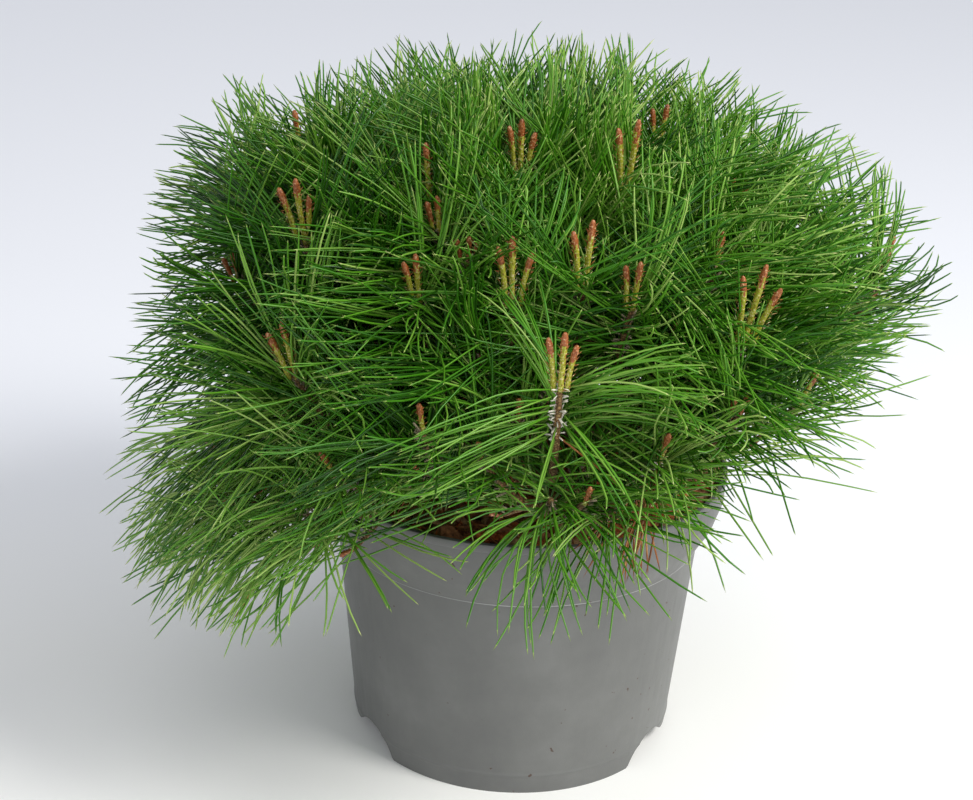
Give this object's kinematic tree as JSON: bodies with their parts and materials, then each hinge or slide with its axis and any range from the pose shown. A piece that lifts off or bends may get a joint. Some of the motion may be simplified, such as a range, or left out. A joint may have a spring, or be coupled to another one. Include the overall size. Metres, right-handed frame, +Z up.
{
  "type": "potted long-needled dwarf pine",
  "caption": "Low, dome-shaped shrub pine with long paired needles and upright new shoots, rooted in a plain round grower's pot with a flared rim and recessed foot.",
  "frame": {"origin": "centre of the circle that the pot stands on, at floor level", "axes": "+Z up, -Y towards the front that the picture shows, +X to the right in that view"},
  "size_m": [0.51, 0.4954, 0.4389],
  "materials": {
    "pot_plastic": "satin",
    "bark_mix": "matte",
    "bark": "matte",
    "needles": "satin"
  },
  "bodies": {
    "root": {"pot": "pot_plastic", "soil": "bark_mix", "trunk": "bark", "bough_low_1": "bark", "bough_low_2": "bark", "bough_low_3": "bark", "bough_low_4": "bark", "bough_low_5": "bark", "bough_low_6": "bark", "bough_low_7": "bark", "bough_middle_1": "bark", "bough_middle_2": "bark", "bough_middle_3": "bark", "bough_middle_4": "bark", "bough_middle_5": "bark", "bough_middle_6": "bark", "bough_top_1": "bark", "bough_top_2": "bark", "bough_top_3": "bark", "needles_low_1": "needles", "needles_low_2": "needles", "needles_low_3": "needles", "needles_low_4": "needles", "needles_low_5": "needles", "needles_low_6": "needles", "needles_low_7": "needles", "needles_middle_1": "needles", "needles_middle_2": "needles", "needles_middle_3": "needles", "needles_middle_4": "needles", "needles_middle_5": "needles", "needles_middle_6": "needles", "needles_top_1": "needles", "needles_top_2": "needles", "needles_top_3": "needles"}
  },
  "joints": []
}
